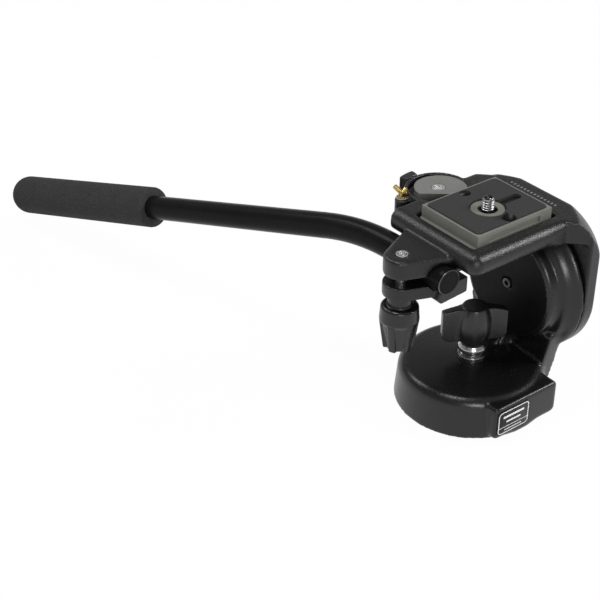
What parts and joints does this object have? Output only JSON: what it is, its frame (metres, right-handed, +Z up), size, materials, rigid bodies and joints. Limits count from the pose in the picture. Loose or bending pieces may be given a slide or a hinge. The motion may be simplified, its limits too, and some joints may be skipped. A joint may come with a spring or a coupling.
{
  "type": "fluid video head",
  "caption": "Fluid video head: panning base with tilt drum, quick-release camera platform and bent pan bar with foam grip; carries a video camera on a tripod",
  "frame": {"origin": "on the pan axis, at the face that sits on the tripod", "axes": "+Z up along the pan axis, +X along the tilt axis to the side plate, +Y back towards the grip; the label faces -Y"},
  "size_m": [0.1865, 0.3671, 0.1209],
  "materials": {
    "black_paint": "crinkle powder coat on die-cast aluminium",
    "black_tube": "gloss black paint on aluminium tube",
    "black_plastic": "fine-grained moulded plastic",
    "foam": "closed-cell foam",
    "chrome": "bright plated steel",
    "steel": "turned steel",
    "bronze": "sintered bronze",
    "nylon": "self-lubricating plastic",
    "seal_rubber": "smooth",
    "plate_metal": "bead-blasted, anodised warm grey",
    "pad_rubber": "fine-ribbed cork rubber",
    "pin_black": "blackened",
    "cam_grey": "die-cast, satin grey",
    "brass": "turned, slightly dull",
    "label": "printed plate, plain border only"
  },
  "bodies": {
    "foot": {"mounting_disc": "black_paint", "tripod_insert": "steel", "pan_spindle": "steel", "spindle_screws": "steel"},
    "pan_base": {"base_housing": "black_paint", "label_plate": "label", "pan_bearing_plate": "black_paint", "pan_bush": "bronze", "pan_drag_ring": "nylon", "bearing_screws": "steel", "pan_brake_pad": "nylon", "pan_washer": "chrome", "tilt_axle": "steel", "axle_screw": "chrome", "tilt_drag_ring": "nylon", "tilt_seal_ring": "seal_rubber"},
    "pan_lock": {"pan_lock_knob": "black_plastic", "pan_lock_ferrule": "chrome", "pan_lock_screw": "steel"},
    "tilt_lock": {"tilt_lock_knob": "black_plastic", "tilt_lock_ferrule": "chrome"},
    "tilt_head": {"tilt_bracket": "black_paint", "tilt_bush": "bronze", "tilt_rotor": "cam_grey", "rotor_pins": "steel", "tilt_washer": "chrome", "quick_plate": "plate_metal", "plate_pad": "pad_rubber", "screw_ring": "plate_metal", "pin_spring": "steel", "pin_plug": "steel", "clamp_insert": "chrome"},
    "plate_screw": {"camera_screw": "chrome"},
    "twist_pin": {"anti_twist_pin": "pin_black"},
    "plate_lock": {"cam_disc": "cam_grey", "cam_screw": "chrome", "lock_lever": "black_plastic", "lever_spring": "steel"},
    "catch": {"safety_catch": "brass", "catch_spring": "steel"},
    "jaw": {"clamp_jaw": "black_paint", "clamp_washer": "chrome"},
    "jaw_knob": {"clamp_knob": "black_plastic", "clamp_screw": "steel"},
    "bar": {"pan_bar": "black_tube", "bar_end_plug": "black_plastic", "bar_grip": "foam"}
  },
  "joints": [
    {"name": "pan", "type": "hinge", "parent": "foot", "child": "pan_base", "pos_m": [0, 0, 0], "axis": [0, 0, 1], "continuous": true},
    {"name": "pan_lock_turn", "type": "hinge", "parent": "pan_base", "child": "pan_lock", "pos_m": [0, 0, 0.03], "axis": [0, 0, 1], "range_deg": [0, 360]},
    {"name": "tilt", "type": "hinge", "parent": "pan_base", "child": "tilt_head", "pos_m": [0.04, 0, 0.0624], "axis": [1, 0, 0], "range_deg": [-60, 90]},
    {"name": "tilt_lock_turn", "type": "hinge", "parent": "pan_base", "child": "tilt_lock", "pos_m": [0.055, 0, 0.0624], "axis": [1, 0, 0], "range_deg": [0, 360]},
    {"name": "camera_screw_turn", "type": "hinge", "parent": "tilt_head", "child": "plate_screw", "pos_m": [0.001, -0.002, 0.11], "axis": [0, 0, 1], "continuous": true},
    {"name": "twist_pin_press", "type": "slide", "parent": "tilt_head", "child": "twist_pin", "axis": [0, 0, -1], "range_m": [0, 0.003], "stiffness_N_per_m": 300, "springref_m": -0.002, "deforming": ["pin_spring"]},
    {"name": "plate_lock_turn", "type": "hinge", "parent": "tilt_head", "child": "plate_lock", "pos_m": [0.0025, 0.036, 0.105], "axis": [0, 0, 1], "range_deg": [0, 38]},
    {"name": "catch_turn", "type": "hinge", "parent": "tilt_head", "child": "catch", "pos_m": [-0.017, 0.0415, 0.105], "axis": [0, 0, 1], "range_deg": [0, 60], "stiffness_Nm_per_rad": 0.02, "springref_deg": -17.19},
    {"name": "jaw_slide", "type": "slide", "parent": "tilt_head", "child": "jaw", "axis": [0, 0, -1], "range_m": [0, 0.0013]},
    {"name": "clamp_knob_turn", "type": "hinge", "parent": "jaw", "child": "jaw_knob", "pos_m": [-0.0504, 0.0024, 0.07], "axis": [0, 0, -1], "range_deg": [0, 360]},
    {"name": "bar_roll", "type": "hinge", "parent": "tilt_head", "child": "bar", "pos_m": [-0.0366, 0, 0.093], "axis": [0, 1, 0], "range_deg": [-180, 180]}
  ],
  "couplings": [
    {"joint": "jaw_slide", "follows": "clamp_knob_turn", "m_per_rad": 0.00019894}
  ]
}
